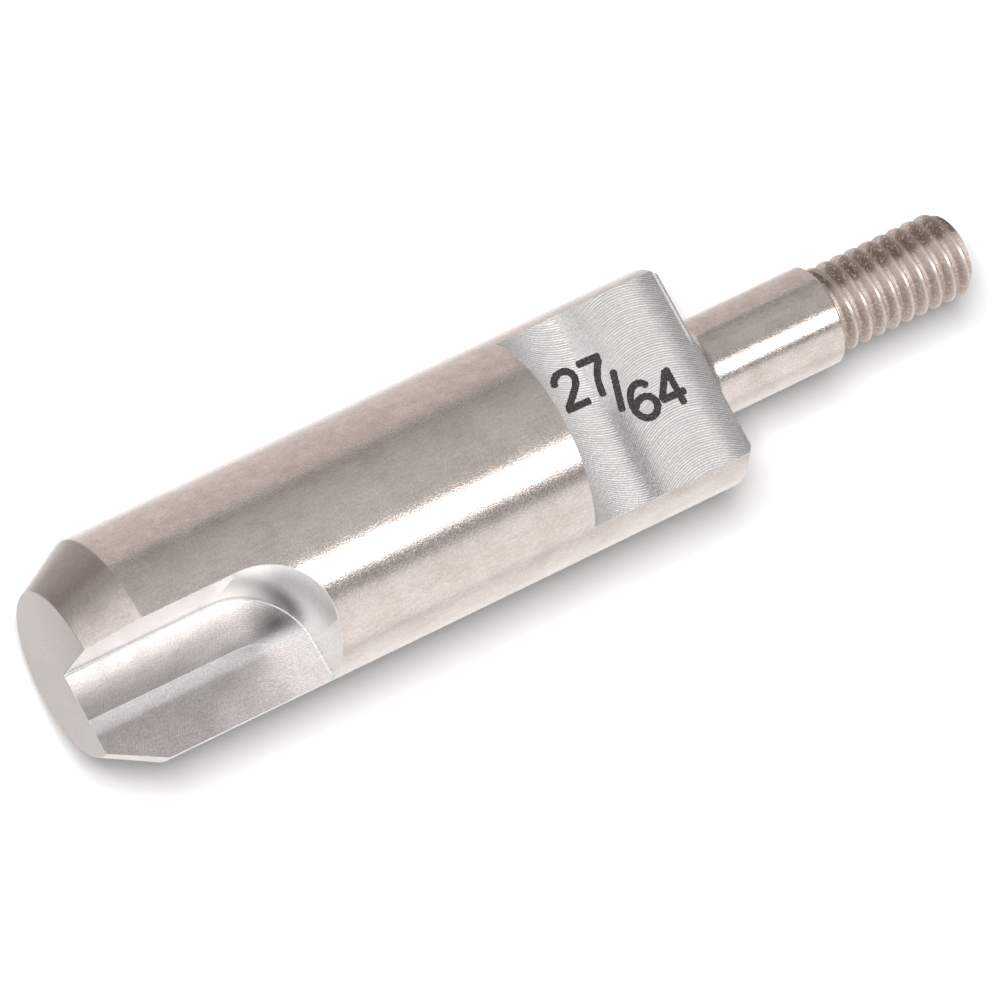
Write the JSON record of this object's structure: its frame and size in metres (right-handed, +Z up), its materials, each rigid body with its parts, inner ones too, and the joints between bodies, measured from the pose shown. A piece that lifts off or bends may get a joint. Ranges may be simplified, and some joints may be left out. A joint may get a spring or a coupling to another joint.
{
  "type": "pen reamer",
  "caption": "One-piece steel pen reamer: a round body with a bevelled nose, a quarter chip flute and a milled flat, on a plain shank with a threaded end.",
  "frame": {"origin": "centre of the footprint, on the surface the tool lies on", "axes": "+X along the tool from the nose to the threaded end, +Z up as the tool lies at rest on its heavy side, +Y the side that the milled flat leans to"},
  "size_m": [0.0472, 0.0108, 0.0107],
  "materials": {
    "steel": "fine turned and milled, not polished"
  },
  "bodies": {
    "root": {"reamer": "steel"}
  },
  "joints": []
}
